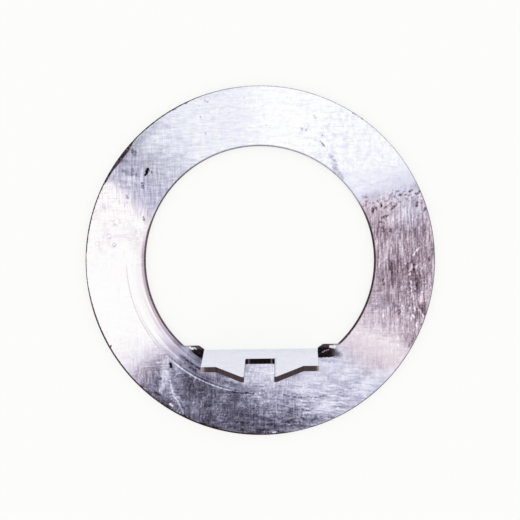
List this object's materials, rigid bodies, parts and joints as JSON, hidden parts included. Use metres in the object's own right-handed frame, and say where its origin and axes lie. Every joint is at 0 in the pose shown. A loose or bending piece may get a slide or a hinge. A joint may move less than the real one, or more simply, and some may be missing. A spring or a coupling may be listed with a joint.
{
  "type": "tang washer",
  "caption": "Flat sheet-steel washer with a D-shaped bore that keys to a spindle's flat, and a forked tang bent up at that flat to lock the nut.",
  "frame": {"origin": "on the bore's axis at the ring's underside, which is the part's lowest face", "axes": "+Z along the bore's axis towards the side the tang rises on, -Y from the bore's axis towards its flat and the tang, +X along the flat"},
  "size_m": [0.0684, 0.0684, 0.0147],
  "materials": {
    "steel": "plated sheet steel, cross-brushed and worn, with scratches, small pits and dark patches"
  },
  "bodies": {
    "root": {"tang_washer": "steel"}
  },
  "joints": []
}
